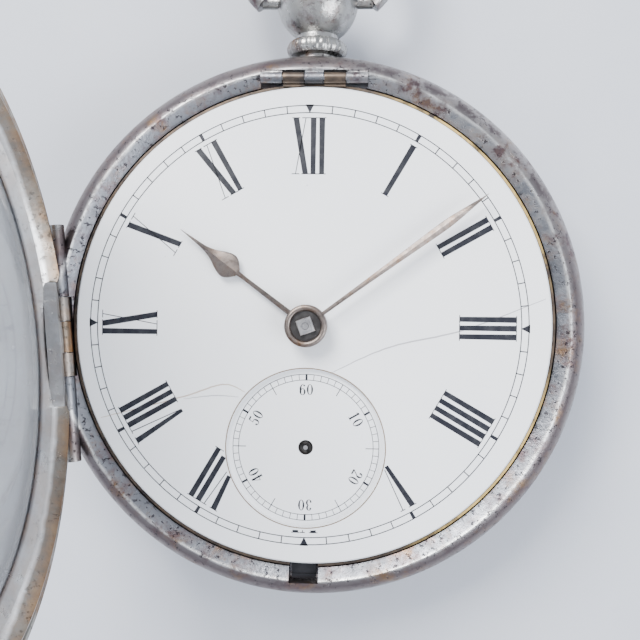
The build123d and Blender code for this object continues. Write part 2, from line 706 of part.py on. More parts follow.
# ---------------------------------------------------------------- barrel, winding work
with BuildPart() as mainspring_barrel:
    disc(barrel_at, 8.7, 4.95, 7.1)
    toothed(barrel_at, barrel_teeth, barrel_module, 6.5, 7.1, -90)
    disc(barrel_at, 8.3, 4.9, 6.8, mode=Mode.SUBTRACT)
    disc(barrel_at, 1.06, 6.0, 7.5, mode=Mode.SUBTRACT)
save(mainspring_barrel, "mainspring_barrel")

with BuildPart() as barrel_cover:
    disc(barrel_at, 8.3, 4.95, 5.25)
    disc(barrel_at, 1.06, 4.9, 5.3, mode=Mode.SUBTRACT)
save(barrel_cover, "barrel_cover")

with BuildPart() as barrel_arbor:
    arbor(barrel_at, ((2.0, 5.3, 1.0), (5.3, 6.75, 1.9), (6.75, 9.0, 1.0)))
    with BuildSketch(level(0.97)) as square:
        with Locations(barrel_at):
            Rectangle(1.3, 1.3)
    extrude(square.sketch, amount=1.03)
save(barrel_arbor, "barrel_arbor")

with BuildPart() as ratchet_wheel:
    toothed(barrel_at, 24, 0.25, 2.2, 2.65, 0, 0.5)
    disc(barrel_at, 1.0, 2.1, 2.7, mode=Mode.SUBTRACT)
save(ratchet_wheel, "ratchet_wheel")

with BuildPart() as mainspring:
    with BuildSketch(level(5.35)) as coils:
        with Locations(barrel_at):
            Polygon(*spiral_outline(2.0, 8.2, 9, 0.16), align=None)
    extrude(coils.sketch, amount=1.35)
save(mainspring, "mainspring")

with BuildPart() as click:
    with BuildSketch(level(2.2)) as outline:
        with Locations(click_at):
            Circle(0.7)
        with Locations((click_at[0] + 0.75, click_at[1] + 0.3)):
            Rectangle(1.1, 0.45, rotation=15)
    extrude(outline.sketch, amount=0.45)
    disc(click_at, 0.3, 2.0, 2.8, mode=Mode.SUBTRACT)
save(click, "click")

with BuildPart() as click_screw:
    disc(click_at, 0.26, 2.15, bridge_low)
    disc(click_at, 0.55, 1.9, 2.15)
save(click_screw, "click_screw")

# ---------------------------------------------------------------- lever escapement
lever_angle = 134.6
with BuildPart() as pallet_lever:
    with BuildSketch(level(4.85)) as outline:
        with Locations(lever_at):
            Circle(0.55)
            Rectangle(4.2, 0.5, rotation=lever_angle + 90)
        with Locations((lever_at[0] - 2.0, lever_at[1] + 2.0)):
            Rectangle(5.0, 0.4, rotation=lever_angle)
    extrude(outline.sketch, amount=0.3)
    arbor(lever_at, ((4.1, 4.9, 0.13), (5.15, 7.9, 0.25)))
save(pallet_lever, "pallet_lever")

with BuildPart() as pallet_stones:
    for side in (-1, 1):
        stone_at = (
            lever_at[0] + side * 1.85 * cos(radians(lever_angle + 90)) + 0.42 * cos(radians(lever_angle + 180)),
            lever_at[1] + side * 1.85 * sin(radians(lever_angle + 90)) + 0.42 * sin(radians(lever_angle + 180)),
        )
        with BuildSketch(level(4.88)) as outline:
            with Locations(stone_at):
                Rectangle(0.35, 0.3, rotation=lever_angle)
        extrude(outline.sketch, amount=0.24)
save(pallet_stones, "pallet_stones")

with BuildPart() as balance_wheel:
    with BuildSketch(level(2.95)) as rim:
        with Locations(balance_at):
            Circle(7.1)
            Circle(6.3, mode=Mode.SUBTRACT)
            Rectangle(12.9, 0.8, rotation=35)
            Circle(0.9)
            Circle(0.35, mode=Mode.SUBTRACT)
    extrude(rim.sketch, amount=0.6)
save(balance_wheel, "balance_wheel")

with BuildPart() as balance_screws:
    for index in range(14):
        place = polar(7.35, 35 + 90 / 7 + 360 / 14 * index)
        with BuildSketch(level(3.0)) as outline:
            with Locations((balance_at[0] + place[0], balance_at[1] + place[1])):
                Rectangle(0.5, 0.6, rotation=35 + 90 / 7 + 360 / 14 * index)
        extrude(outline.sketch, amount=0.5)
    disc(balance_at, 7.1, 2.9, 3.6, mode=Mode.SUBTRACT)
save(balance_screws, "balance_screws")

with BuildPart() as balance_staff:
    arbor(balance_at, ((2.05, 2.5, 0.12), (2.5, 5.6, 0.35), (5.6, 7.9, 0.25)))
save(balance_staff, "balance_staff")

with BuildPart() as roller:
    disc(balance_at, 1.2, 5.2, 5.5)
    with BuildSketch(level(4.85)) as outline:
        pin_place = polar(0.95, lever_angle + 180)
        with Locations((balance_at[0] + pin_place[0], balance_at[1] + pin_place[1])):
            Circle(0.12)
    extrude(outline.sketch, amount=0.35)
    disc(balance_at, 0.35, 4.8, 5.6, mode=Mode.SUBTRACT)
save(roller, "roller")

with BuildPart() as hairspring:
    with BuildSketch(level(2.62)) as coils:
        with Locations(balance_at):
            Polygon(*spiral_outline(0.6, 3.0, 7, 0.07), align=None)
    extrude(coils.sketch, amount=0.2)
save(hairspring, "hairspring")
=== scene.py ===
import json
import math
import random

import bpy
from mathutils import Matrix, Vector


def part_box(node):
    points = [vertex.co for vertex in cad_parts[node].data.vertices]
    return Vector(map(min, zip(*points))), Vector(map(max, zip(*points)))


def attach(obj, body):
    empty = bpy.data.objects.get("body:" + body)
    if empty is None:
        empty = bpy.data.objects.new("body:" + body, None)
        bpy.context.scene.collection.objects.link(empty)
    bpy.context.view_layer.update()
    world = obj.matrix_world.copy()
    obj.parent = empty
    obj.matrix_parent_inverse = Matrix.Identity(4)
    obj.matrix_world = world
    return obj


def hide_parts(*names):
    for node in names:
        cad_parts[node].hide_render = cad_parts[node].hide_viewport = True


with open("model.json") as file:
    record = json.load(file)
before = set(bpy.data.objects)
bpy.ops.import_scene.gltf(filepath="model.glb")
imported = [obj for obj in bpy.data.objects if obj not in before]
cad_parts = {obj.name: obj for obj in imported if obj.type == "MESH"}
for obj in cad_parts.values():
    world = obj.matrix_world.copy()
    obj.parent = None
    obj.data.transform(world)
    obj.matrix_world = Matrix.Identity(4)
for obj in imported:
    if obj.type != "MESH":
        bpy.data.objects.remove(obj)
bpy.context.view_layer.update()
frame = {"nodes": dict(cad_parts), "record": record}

# ------------------------------------------------------------------ sizes, in millimetres
MM = 0.001
MOVEMENT_SHIFT = -0.4       # the movement sits a little to the hinge's side of the case's centre
HINGE_TURN = Matrix.Rotation(math.radians(5), 3, "Z")
HINGE = Vector((-24.4, 0.0, 11.5))      # before the hinge's turn
CASE_RADIUS = 26.8
MILLED_LOW, MILLED_HIGH, MILLED_DEPTH = 6.5, 8.7, 0.14
STEM_HEIGHT = 7.3
COVER_OPENING = math.radians(88)
DIAL_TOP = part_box("dial")[1][2] / MM
SECONDS_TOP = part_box("seconds_dial")[1][2] / MM
SECONDS_OFFSET = 12.0
SECONDS_EDGE = 7.78
PRINT_LIFT = 0.012
random.seed(4)


# ------------------------------------------------------------------ camera and light
CAMERA_PLACE = (5.2, 1.435, 93.06)      # above the watch, a little to the right of its centre
CAMERA_TURN = (("Z", 0.0141), ("Y", 0.0529), ("X", -0.0098))
CAMERA_LENS = 47.27


def place_camera():
    data = bpy.data.cameras.new("camera")
    data.sensor_width = 36.0
    data.lens = CAMERA_LENS
    data.clip_start = 0.002
    data.clip_end = 5.0
    camera = bpy.data.objects.new("camera", data)
    bpy.context.scene.collection.objects.link(camera)
    pose = Matrix.Translation(Vector(CAMERA_PLACE) * MM)
    for axis, angle in CAMERA_TURN:
        pose = pose @ Matrix.Rotation(angle, 4, axis)
    camera.matrix_world = pose
    bpy.context.scene.camera = camera


def area_light(name, place, target, size, energy, colour):
    data = bpy.data.lights.new(name, "AREA")
    data.shape = "RECTANGLE"
    data.size, data.size_y = size[0] * MM, size[1] * MM
    data.energy = energy
    data.color = colour
    light = bpy.data.objects.new(name, data)
    light.location = Vector(place) * MM
    light.rotation_euler = (Vector(target) - Vector(place)).to_track_quat("-Z", "Y").to_euler()
    bpy.context.scene.collection.objects.link(light)


# ------------------------------------------------------------------ material helpers
class Nodes:
    """A short way to write a material's node tree."""

    def __init__(self, name):
        self.material = bpy.data.materials.new(name)
        self.material.use_nodes = True
        self.tree = self.material.node_tree
        self.shader = self.tree.nodes["Principled BSDF"]
        self.place = self.add("ShaderNodeTexCoord").outputs["Object"]

    def add(self, kind, **settings):
        node = self.tree.nodes.new(kind)
        for key, value in settings.items():
            setattr(node, key, value)
        return node

    def link(self, source, target):
        self.tree.links.new(source, target)

    def feed(self, value, socket):
        """Gives a socket a colour, a number or another node's output."""
        if isinstance(value, tuple):
            socket.default_value = (*value, 1)
        elif isinstance(value, (int, float)):
            socket.default_value = value
        else:
            self.link(value, socket)

    def noise(self, scale, detail=4.0, rough=0.6, place=None):
        node = self.add("ShaderNodeTexNoise")
        node.inputs["Scale"].default_value = scale
        node.inputs["Detail"].default_value = detail
        node.inputs["Roughness"].default_value = rough
        self.link(place or self.place, node.inputs["Vector"])
        return node.outputs["Fac"]

    def ramp(self, value, stops):
        node = self.add("ShaderNodeValToRGB")
        ramp = node.color_ramp
        while len(ramp.elements) < len(stops):
            ramp.elements.new(0.5)
        for element, (position, colour) in zip(ramp.elements, stops):
            element.position = position
            element.color = (*colour, 1)
        self.link(value, node.inputs["Fac"])
        return node.outputs["Color"]

    def grey(self, value, low, high, bottom=0.0, top=1.0):
        """Maps value from low..high to bottom..top."""
        node = self.add("ShaderNodeMapRange")
        node.inputs["From Min"].default_value = low
        node.inputs["From Max"].default_value = high
        node.inputs["To Min"].default_value = bottom
        node.inputs["To Max"].default_value = top
        self.link(value, node.inputs["Value"])
        return node.outputs["Result"]

    def mix(self, factor, first, second):
        node = self.add("ShaderNodeMix", data_type="RGBA")
        colours = {socket.name: socket for socket in node.inputs if socket.type == "RGBA"}
        self.feed(factor, node.inputs["Factor"])
        self.feed(first, colours["A"])
        self.feed(second, colours["B"])
        return [socket for socket in node.outputs if socket.type == "RGBA"][0]

    def maths(self, operation, *values):
        node = self.add("ShaderNodeMath", operation=operation)
        for value, socket in zip(values, node.inputs):
            self.feed(value, socket)
        return node.outputs["Value"]

    def radius(self, centre, across, along):
        """Distance in metres from the axis through centre that stands square to across and along."""
        offset = self.add("ShaderNodeVectorMath", operation="SUBTRACT")
        self.link(self.place, offset.inputs[0])
        offset.inputs[1].default_value = Vector(centre) * MM
        parts = []
        for direction in (across, along):
            dot = self.add("ShaderNodeVectorMath", operation="DOT_PRODUCT")
            self.link(offset.outputs["Vector"], dot.inputs[0])
            dot.inputs[1].default_value = direction
            parts.append(self.maths("POWER", dot.outputs["Value"], 2.0))
        return self.maths("SQRT", self.maths("ADD", parts[0], parts[1]))

    def towards(self, angle, low, high):
        """1 on the side of the case that faces an angle in degrees, 0 away from it."""
        dot = self.add("ShaderNodeVectorMath", operation="DOT_PRODUCT")
        self.link(self.place, dot.inputs[0])
        dot.inputs[1].default_value = (math.cos(math.radians(angle)), math.sin(math.radians(angle)), 0)
        return self.grey(dot.outputs["Value"], low * MM, high * MM)

    def bump(self, height, strength, distance):
        node = self.add("ShaderNodeBump")
        node.inputs["Strength"].default_value = strength
        node.inputs["Distance"].default_value = distance
        self.link(height, node.inputs["Height"])
        self.link(node.outputs["Normal"], self.shader.inputs["Normal"])

    def finish(self, colour, roughness, metallic=0.0):
        self.feed(colour, self.shader.inputs["Base Color"])
        self.feed(roughness, self.shader.inputs["Roughness"])
        self.feed(metallic, self.shader.inputs["Metallic"])
        return self.material


def streaked(nodes, scale):
    """The object's own place stretched by scale, for grain and scratches that run one way."""
    mapping = nodes.add("ShaderNodeMapping")
    mapping.inputs["Scale"].default_value = scale
    nodes.link(nodes.place, mapping.inputs["Vector"])
    return mapping.outputs["Vector"]


# ------------------------------------------------------------------ materials
def tarnished_silver(name, light=(0.36, 0.36, 0.36), brown=0.5, pits=0.5, rough=0.3, rings=None):
    """Old silver with wear: patches of brown and purple tarnish, black pits and fine scratches; with rings,
    also a painted highlight on one side.
    """
    n = Nodes(name)
    base = n.mix(n.grey(n.noise(420, 3), 0.35, 0.7), light, tuple(c * 0.66 for c in light))
    if rings:
        wobble = n.maths("MULTIPLY", n.maths("SUBTRACT", n.noise(260, 4), 0.5), 0.0004)
        radius = n.maths("ADD", n.radius((0, 0, 0), (1, 0, 0), (0, 1, 0)), wobble)
        low, high = rings[0][0], rings[-1][0]
        stops = [((edge - low) / (high - low), tone) for edge, tone in rings]
        tones = n.ramp(n.grey(radius, low * MM, high * MM), stops)
        base = n.mix(0.85, base, tones)
        # Painted highlight: the band is lighter on its side facing 50 degrees, broken up by noise.
        lit_side_highlight = n.maths("MULTIPLY", n.towards(50, 19, 26), n.grey(n.noise(330, 5, 0.7), 0.42, 0.62))
        base = n.mix(lit_side_highlight, base, (0.74, 0.73, 0.72))
    patches = n.grey(n.noise(330, 7, 0.72), 0.54 - 0.14 * brown, 0.68 - 0.1 * brown)
    tarnish = n.ramp(n.noise(380, 5, 0.7), [
        (0.3, (0.07, 0.06, 0.075)), (0.5, (0.15, 0.105, 0.105)), (0.68, (0.24, 0.15, 0.08))])
    colour = n.mix(patches, base, tarnish)
    pit = n.grey(n.noise(1900, 4, 0.75), 0.62 - 0.05 * pits, 0.66 - 0.05 * pits)
    colour = n.mix(n.maths("MULTIPLY", pit, 0.85), colour, (0.03, 0.025, 0.03))
    scratches = n.noise(3200, 2, 0.5, streaked(n, (1, 0.05, 1)))
    n.bump(n.maths("SUBTRACT", n.noise(1500, 5, 0.7), n.maths("MULTIPLY", pit, 1.5)), 0.5, 0.00009)
    roughness = n.maths("ADD", n.grey(n.noise(700, 4), 0.3, 0.7, rough - 0.08, rough + 0.14),
                        n.maths("MULTIPLY", scratches, 0.08))
    return n.finish(colour, roughness, 1.0)


def banded_silver(name, bands, rough):
    """Silver of the open cover and bezel, whose tone and tarnish change from ring to ring."""
    n = Nodes(name)
    turn = Matrix.Rotation(-COVER_OPENING, 3, "Y")
    centre = HINGE_TURN @ (HINGE + turn @ (Vector((0, 0, 11.5)) - HINGE))
    across = HINGE_TURN @ (turn @ Vector((1, 0, 0)))
    radius = n.radius(centre, tuple(across), tuple(HINGE_TURN @ Vector((0, 1, 0))))
    wobble = n.maths("MULTIPLY", n.maths("SUBTRACT", n.noise(150, 4), 0.5), 0.0005)
    radius = n.maths("ADD", radius, wobble)
    low, high = bands[0][0] * MM, bands[-1][0] * MM
    stops = [((edge * MM - low) / (high - low), tone) for edge, tone in bands]
    colour = n.ramp(n.grey(radius, low, high), stops)
    outward = n.grey(radius, (low + high) / 2, high, 0.25, 1.0)
    spots = n.grey(n.noise(260, 7, 0.72), 0.41, 0.53)
    patches = n.maths("MULTIPLY", outward, spots)
    rust = n.ramp(n.noise(420, 5, 0.7), [
        (0.35, (0.07, 0.055, 0.04)), (0.5, (0.26, 0.13, 0.055)), (0.65, (0.42, 0.24, 0.10))])
    colour = n.mix(n.maths("MULTIPLY", patches, 0.85), colour, rust)
    pit = n.grey(n.noise(1700, 4, 0.75), 0.60, 0.64)
    colour = n.mix(n.maths("MULTIPLY", n.maths("MULTIPLY", pit, outward), 0.85), colour, (0.03, 0.03, 0.03))
    n.bump(n.maths("SUBTRACT", n.noise(1300, 5, 0.7), pit), 0.4, 0.00008)
    return n.finish(colour, n.grey(n.noise(600, 4), 0.3, 0.7, rough - 0.06, rough + 0.16), 1.0)


def gilt_brass():
    n = Nodes("gilt_brass")
    colour = n.mix(n.grey(n.noise(320, 5), 0.4, 0.7), (0.80, 0.56, 0.22), (0.48, 0.28, 0.10))
    grain = n.noise(5200, 2)
    n.bump(grain, 0.25, 0.00003)
    return n.finish(colour, n.grey(n.noise(900, 4), 0.3, 0.7, 0.26, 0.42), 1.0)


def ring_brass():
    """The movement's edge: blackened brass, with painted highlights in yellow on two sides."""
    n = Nodes("ring_brass")
    dull = n.mix(n.grey(n.noise(500, 5), 0.35, 0.65), (0.16, 0.12, 0.09), (0.05, 0.045, 0.045))
    # Painted highlights: yellow on the sides facing 42 and -38 degrees, broken up by noise.
    highlight_sides = n.maths("MAXIMUM", n.towards(42, 19.5, 22.8), n.towards(-38, 20.5, 23.2))
    patchy_highlight = n.maths("MULTIPLY", highlight_sides, n.grey(n.noise(420, 5, 0.7), 0.34, 0.5))
    colour = n.mix(patchy_highlight, dull, (0.74, 0.53, 0.20))
    n.bump(n.noise(2600, 3), 0.3, 0.00004)
    return n.finish(colour, n.grey(n.noise(900, 4), 0.3, 0.7, 0.3, 0.5), 1.0)


def steel(name, colour, rough):
    n = Nodes(name)
    tint = n.mix(n.grey(n.noise(500, 5), 0.4, 0.68), colour, tuple(c * 0.55 for c in colour))
    n.bump(n.noise(3800, 3, 0.6, streaked(n, (1, 0.1, 1))), 0.2, 0.00003)
    return n.finish(tint, n.grey(n.noise(900, 4), 0.3, 0.7, rough - 0.06, rough + 0.12), 1.0)


def hand_metal():
    n = Nodes("hand_metal")
    tone = n.ramp(n.noise(700, 6, 0.7), [
        (0.3, (0.07, 0.055, 0.05)), (0.5, (0.20, 0.17, 0.155)), (0.7, (0.14, 0.085, 0.055))])
    n.bump(n.noise(4200, 4, 0.7), 0.35, 0.00004)
    return n.finish(tone, n.grey(n.noise(1500, 4), 0.3, 0.7, 0.32, 0.5), 1.0)


def enamel(name, tone):
    """Fired white enamel: nearly flat, faintly clouded, with a few black specks under the glaze."""
    n = Nodes(name)
    shaded = tuple(c * share for c, share in zip(tone, (0.955, 0.965, 0.985)))
    cloud = n.mix(n.grey(n.noise(55, 3), 0.35, 0.7), tone, shaded)
    voronoi = n.add("ShaderNodeTexVoronoi")
    voronoi.inputs["Scale"].default_value = 330
    n.link(n.place, voronoi.inputs["Vector"])
    near = n.grey(voronoi.outputs["Distance"], 0.035, 0.05, 1.0, 0.0)
    rare = n.grey(n.noise(120, 2), 0.62, 0.66)
    colour = n.mix(n.maths("MULTIPLY", n.maths("MULTIPLY", near, rare), 0.6), cloud, (0.12, 0.11, 0.11))
    n.bump(n.noise(160, 2), 0.05, 0.00005)
    material = n.finish(colour, n.grey(n.noise(300, 3), 0.3, 0.7, 0.12, 0.2), 0.0)
    n.shader.inputs["Coat Weight"].default_value = 0.4
    n.shader.inputs["Coat Roughness"].default_value = 0.06
    return material


def ink(name, tone):
    n = Nodes(name)
    colour = n.mix(n.grey(n.noise(1400, 3), 0.45, 0.75), tone, tuple(c + 0.025 for c in tone))
    return n.finish(colour, n.grey(n.noise(900, 2), 0.3, 0.7, 0.3, 0.42), 0.0)


def clear_glass():
    n = Nodes("clear_glass")
    haze = n.grey(n.noise(240, 4), 0.45, 0.75, 0.03, 0.10)
    material = n.finish((0.93, 0.96, 1.0), haze, 0.0)
    n.shader.inputs["Transmission Weight"].default_value = 0.82
    n.shader.inputs["IOR"].default_value = 1.45
    return material


def ruby():
    n = Nodes("ruby")
    colour = n.mix(n.noise(900, 3), (0.55, 0.03, 0.10), (0.75, 0.10, 0.22))
    material = n.finish(colour, n.grey(n.noise(900, 2), 0.3, 0.7, 0.05, 0.12), 0.0)
    n.shader.inputs["Transmission Weight"].default_value = 0.5
    return material


def pale_floor():
    n = Nodes("pale_floor")
    weave = n.noise(900, 3, 0.6)
    colour = n.mix(n.grey(n.noise(45, 3), 0.3, 0.7), (0.57, 0.595, 0.655), (0.52, 0.55, 0.62))
    n.bump(weave, 0.25, 0.0001)
    return n.finish(colour, 0.8, 0.0)


# ------------------------------------------------------------------ mesh helpers
def make_object(name, vertices, faces, material, smooth=False):
    mesh = bpy.data.meshes.new(name)
    mesh.from_pydata([Vector(v) * MM for v in vertices], [], faces)
    mesh.materials.append(material)
    mesh.validate()
    if smooth:
        for polygon in mesh.polygons:
            polygon.use_smooth = True
    obj = bpy.data.objects.new(name, mesh)
    bpy.context.scene.collection.objects.link(obj)
    return obj


def turned(x, y, angle):
    return (x * math.cos(angle) - y * math.sin(angle), x * math.sin(angle) + y * math.cos(angle))


def on_dial(x, y, height):
    """A point of the movement's own axes, in the row frame."""
    return (x + MOVEMENT_SHIFT, y, height)


def skin(sections, rows, ring=True, closed=True, flipped=False):
    """Faces between neighbouring sections of a form, whose points are numbered section by section."""
    faces = []
    for index in range(sections if ring else sections - 1):
        here, there = index * rows, (index + 1) % sections * rows
        for row in range(rows if closed else rows - 1):
            following = (row + 1) % rows
            face = (here + row, there + row, there + following, here + following)
            faces.append(face[:1] + face[:0:-1] if flipped else face)
    return faces


def lathe(name, profile, material, segments, centre, closed=False):
    """Turns a (radius, height) profile about a vertical axis."""
    vertices = []
    for step in range(segments):
        angle = 2 * math.pi * step / segments
        for radius, height in profile:
            x, y = centre[0] + radius * math.cos(angle), centre[1] + radius * math.sin(angle)
            vertices.append((x, y, height))
    faces = skin(segments, len(profile), closed=closed)
    return make_object(name, vertices, faces, material, smooth=True)


# ------------------------------------------------------------------ printing on the dials
class Print:
    """Collects flat printed strokes, so that all of one colour become one thin piece."""

    def __init__(self, height, keep_clear=None):
        self.vertices, self.faces = [], []
        self.height = height
        self.keep_clear = keep_clear

    def polygon(self, points):
        centre_x = sum(p[0] for p in points) / len(points)
        centre_y = sum(p[1] for p in points) / len(points)
        if self.keep_clear and math.hypot(centre_x, centre_y + SECONDS_OFFSET) < self.keep_clear:
            return
        first = len(self.vertices)
        self.vertices += [on_dial(x, y, self.height) for x, y in points]
        self.faces.append(tuple(range(first, first + len(points))))

    def stroke(self, start, end, width, end_width=None, slices=24):
        """A straight tapering stroke, in slices so that the seconds dial can cut it."""
        end_width = width if end_width is None else end_width
        dx, dy = end[0] - start[0], end[1] - start[1]
        length = math.hypot(dx, dy)
        nx, ny = -dy / length, dx / length
        for index in range(slices):
            corners = []
            for t, side in ((index, 1), (index, -1), (index + 1, -1), (index + 1, 1)):
                t /= slices
                half = (width + (end_width - width) * t) / 2 * side
                corners.append((start[0] + dx * t + nx * half, start[1] + dy * t + ny * half))
            self.polygon(corners)

    def ring(self, centre, inner, outer, segments):
        for index in range(segments):
            a, b = (2 * math.pi * i / segments for i in (index, index + 1))
            self.polygon([
                (centre[0] + r * math.cos(t), centre[1] + r * math.sin(t))
                for r, t in ((inner, a), (outer, a), (outer, b), (inner, b))])

    def finish(self, name, material):
        return make_object(name, self.vertices, self.faces, material)


NUMERAL_FOOT = 14.8
NUMERAL_HEIGHT = 5.45
THICK = 0.56
HAIR = 0.075
GLYPH_WIDTH = {"I": 0.84, "V": 1.7, "X": 1.62}
SLANT = 0.48            # how far a slanting stroke's ends stand from the letter's middle
TRACK_INNER, TRACK_OUTER = 20.75, 21.45
TRACK_LINE = 0.09
SECONDS_INNER, SECONDS_OUTER = 6.64, 7.2
SECONDS_LINE = 0.06
SPOKE_START = 5.9
FIGURE_FOOT = 5.15      # of the seconds dial's numerals, from its centre
DIGIT_HEIGHT, DIGIT_WIDTH, DIGIT_STEP = 1.1, 0.62, 0.72


def framed(angle, radius):
    """Maps (right, up) of a sign with its top outward to the dial, at a clock angle in degrees from 12."""
    a = math.radians(90 - angle)
    right, up = (math.sin(a), -math.cos(a)), (math.cos(a), math.sin(a))

    def place(u, v):
        return (up[0] * (radius + v) + right[0] * u, up[1] * (radius + v) + right[1] * u)
    return place


def roman(sheet, text, angle):
    place = framed(angle, NUMERAL_FOOT)
    total = sum(GLYPH_WIDTH[letter] for letter in text)
    left = -total / 2
    top, foot = NUMERAL_HEIGHT, 0.0
    for letter in text:
        width = GLYPH_WIDTH[letter]
        middle = left + width / 2
        if letter == "I":
            sheet.stroke(place(middle, foot), place(middle, top), THICK * 0.86, THICK)
            serifs = [(middle, 0.4)]
        elif letter == "V":
            sheet.stroke(place(middle, foot), place(middle - SLANT, top), THICK * 0.6, THICK)
            sheet.stroke(place(middle + 0.12, foot), place(middle + SLANT + 0.1, top), HAIR, HAIR * 1.2)
            serifs = [(middle - SLANT, 0.42), (middle + SLANT + 0.1, 0.26)]
        else:
            sheet.stroke(place(middle + SLANT, foot), place(middle - SLANT, top), THICK * 0.95, THICK)
            sheet.stroke(place(middle - SLANT, foot), place(middle + SLANT, top), HAIR, HAIR)
            serifs = [(middle - SLANT, 0.38), (middle + SLANT, 0.38)]
        for centre, half in serifs:
            sheet.stroke(place(centre - half, top), place(centre + half, top), HAIR, slices=6)
            if letter != "V":
                sheet.stroke(place(centre - half, foot), place(centre + half, foot), HAIR, slices=6)
        left += width


def print_hours(black):
    sheet = Print(DIAL_TOP + PRINT_LIFT, keep_clear=SECONDS_EDGE + 0.22)
    names = ["XII", "I", "II", "III", "IIII", "V", "VI", "VII", "VIII", "IX", "X", "XI"]
    for index, text in enumerate(names):
        roman(sheet, text, 30 * index)
    return sheet.finish("hour_numerals", black)


def print_minutes(black):
    sheet = Print(DIAL_TOP + PRINT_LIFT)
    for radius in (TRACK_INNER, TRACK_OUTER):
        sheet.ring((0, 0), radius - TRACK_LINE / 2, radius + TRACK_LINE / 2, 540)
    for minute in range(60):
        place = framed(6 * minute, 0)
        if minute % 15 == 0:
            points = [(-0.42, TRACK_OUTER + 0.1), (0.42, TRACK_OUTER + 0.1), (0, TRACK_INNER - 0.05)]
            sheet.polygon([place(*p) for p in points])
        elif minute % 5 == 0:
            sheet.stroke(place(0, TRACK_INNER), place(0, TRACK_OUTER), 0.3, 0.34, slices=2)
        else:
            sheet.stroke(place(0, TRACK_INNER), place(0, TRACK_OUTER), 0.1, slices=2)
    return sheet.finish("minute_track", black)


def digit(sheet, place, shape, left):
    """One figure of the seconds dial, in thick and thin strokes."""
    h, w = DIGIT_HEIGHT, DIGIT_WIDTH
    bold, hair = 0.17, 0.05

    def at(x, y):
        return place(left + x * w, y * h)

    def curve(cx, cy, rx, ry, start, end, thick=bold, thin=hair):
        steps = 22
        edges = []
        for index in range(steps + 1):
            angle = math.radians(start + (end - start) * index / steps)
            width = thin + (thick - thin) * abs(math.cos(angle)) ** 2
            edges.append([
                place(left + cx * w + (rx * w + s * width / 2) * math.cos(angle),
                      cy * h + (ry * h + s * width / 2) * math.sin(angle)) for s in (-1, 1)])
        for (a, b), (c, d) in zip(edges, edges[1:]):
            sheet.polygon([a, b, d, c])

    def dot(x, y):
        curve(x, y, 0.04, 0.03, 0, 360, 0.12, 0.1)

    if shape == "0":
        curve(0.5, 0.5, 0.36, 0.46, 0, 360)
    elif shape == "1":
        sheet.stroke(at(0.5, 0), at(0.5, 1), bold, slices=1)
        sheet.stroke(at(0.2, 0), at(0.8, 0), hair, slices=1)
        sheet.stroke(at(0.5, 1), at(0.22, 0.82), hair * 1.4, slices=1)
    elif shape == "2":
        curve(0.48, 0.7, 0.32, 0.26, 170, -40)
        sheet.stroke(at(0.72, 0.55), at(0.1, 0.02), hair * 1.6, slices=1)
        sheet.stroke(at(0.1, 0.05), at(0.9, 0.05), bold * 0.8, slices=1)
        dot(0.2, 0.72)
    elif shape == "3":
        curve(0.45, 0.73, 0.28, 0.23, 150, -80)
        curve(0.45, 0.27, 0.33, 0.25, 80, -150)
        dot(0.2, 0.8)
        dot(0.16, 0.2)
    elif shape == "4":
        sheet.stroke(at(0.62, 0), at(0.62, 1), bold, slices=1)
        sheet.stroke(at(0.62, 1), at(0.05, 0.3), hair, slices=1)
        sheet.stroke(at(0.05, 0.3), at(0.95, 0.3), hair, slices=1)
        sheet.stroke(at(0.4, 0), at(0.85, 0), hair, slices=1)
    elif shape == "5":
        sheet.stroke(at(0.25, 0.92), at(0.82, 0.96), bold * 0.8, slices=1)
        sheet.stroke(at(0.25, 0.95), at(0.2, 0.52), hair, slices=1)
        curve(0.45, 0.31, 0.33, 0.27, 120, -150)
        dot(0.16, 0.18)
    elif shape == "6":
        curve(0.5, 0.3, 0.34, 0.28, 0, 360)
        curve(0.58, 0.52, 0.42, 0.44, 85, 200)
        dot(0.74, 0.86)


def print_seconds(black):
    sheet = Print(SECONDS_TOP + PRINT_LIFT)
    centre = (0, -SECONDS_OFFSET)
    for radius in (SECONDS_INNER, SECONDS_OUTER):
        sheet.ring(centre, radius - SECONDS_LINE / 2, radius + SECONDS_LINE / 2, 240)

    def on_seconds(angle, radius):
        place = framed(angle, radius)
        return lambda u, v: (place(u, v)[0] + centre[0], place(u, v)[1] + centre[1])

    for second in range(60):
        place = on_seconds(6 * second, 0)
        if second % 10 == 5:
            sheet.stroke(place(0, SPOKE_START), place(0, SECONDS_OUTER), 0.07, slices=3)
        elif second % 10 == 0:
            sheet.stroke(place(0, SECONDS_INNER - 0.05), place(0, SECONDS_OUTER), 0.2, slices=2)
        else:
            sheet.stroke(place(0, SECONDS_INNER), place(0, SECONDS_OUTER), 0.055, slices=2)
    for angle, text in ((0, "60"), (60, "10"), (120, "20"), (180, "30"), (240, "40"), (300, "50")):
        place = on_seconds(angle, FIGURE_FOOT)
        for index, shape in enumerate(text):
            digit(sheet, place, shape, -0.68 + DIGIT_STEP * index)
    return sheet.finish("seconds_print", black)


def curve_through(points, steps):
    """Points along a smooth curve through the given ones, without the last."""
    result = []
    for index in range(len(points) - 1):
        p0 = points[max(index - 1, 0)]
        p1, p2 = points[index], points[index + 1]
        p3 = points[min(index + 2, len(points) - 1)]
        for step in range(steps):
            t = step / steps
            result.append(tuple(
                0.5 * (2 * b + (c - a) * t + (2 * a - 5 * b + 4 * c - d) * t * t
                       + (3 * b - a - 3 * c + d) * t ** 3)
                for a, b, c, d in zip(p0, p1, p2, p3)))
    return result


def crack(name, points, width, material, height):
    """A hairline crack in the enamel, given by a few points that it bends through."""
    sheet = Print(height)
    smooth = curve_through(points, 14) + [points[-1]]
    wobbly = [(x + random.uniform(-0.02, 0.02), y + random.uniform(-0.02, 0.02)) for x, y in smooth]
    count = len(wobbly) - 1
    for index, (a, b) in enumerate(zip(wobbly, wobbly[1:])):
        swell = 0.35 + 0.65 * math.sin(math.pi * (index + 0.5) / count)
        sheet.stroke(a, b, width * swell, slices=1)
    return sheet.finish(name, material)


